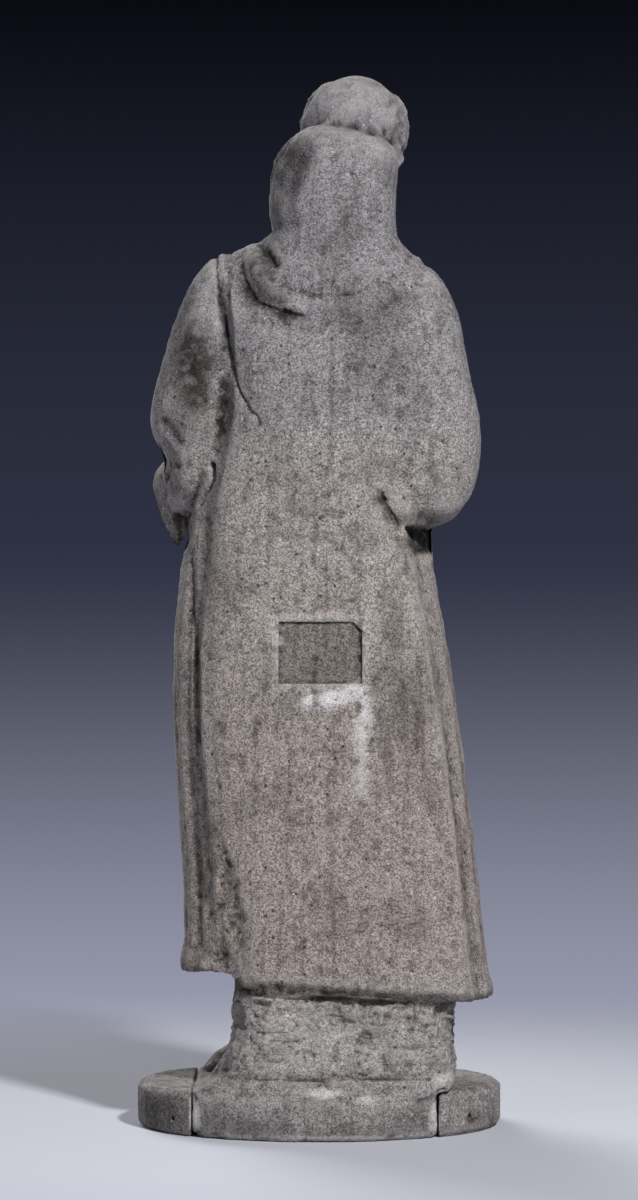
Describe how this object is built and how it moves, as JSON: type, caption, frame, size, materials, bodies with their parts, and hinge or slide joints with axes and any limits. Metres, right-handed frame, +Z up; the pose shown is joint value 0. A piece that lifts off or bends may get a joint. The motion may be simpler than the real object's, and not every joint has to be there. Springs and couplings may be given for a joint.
{
  "type": "saint statue",
  "caption": "Standing hooded friar saint in weathered grey stone on a low oval plinth, with scapular, cowl and wide sleeves; garden or niche figure.",
  "frame": {"origin": "centre of the plinth's underside, on the ground", "axes": "+Z up; the figure faces -Y, its own left is +X and its back is +Y"},
  "size_m": [0.29, 0.23, 0.84],
  "materials": {
    "figure_stone": "weathered, open sandy grain",
    "plinth_end_stone": "weathered, open sandy grain"
  },
  "bodies": {
    "root": {"figure": "figure_stone", "plinth_left_end": "plinth_end_stone", "plinth_right_end": "plinth_end_stone"}
  },
  "joints": []
}
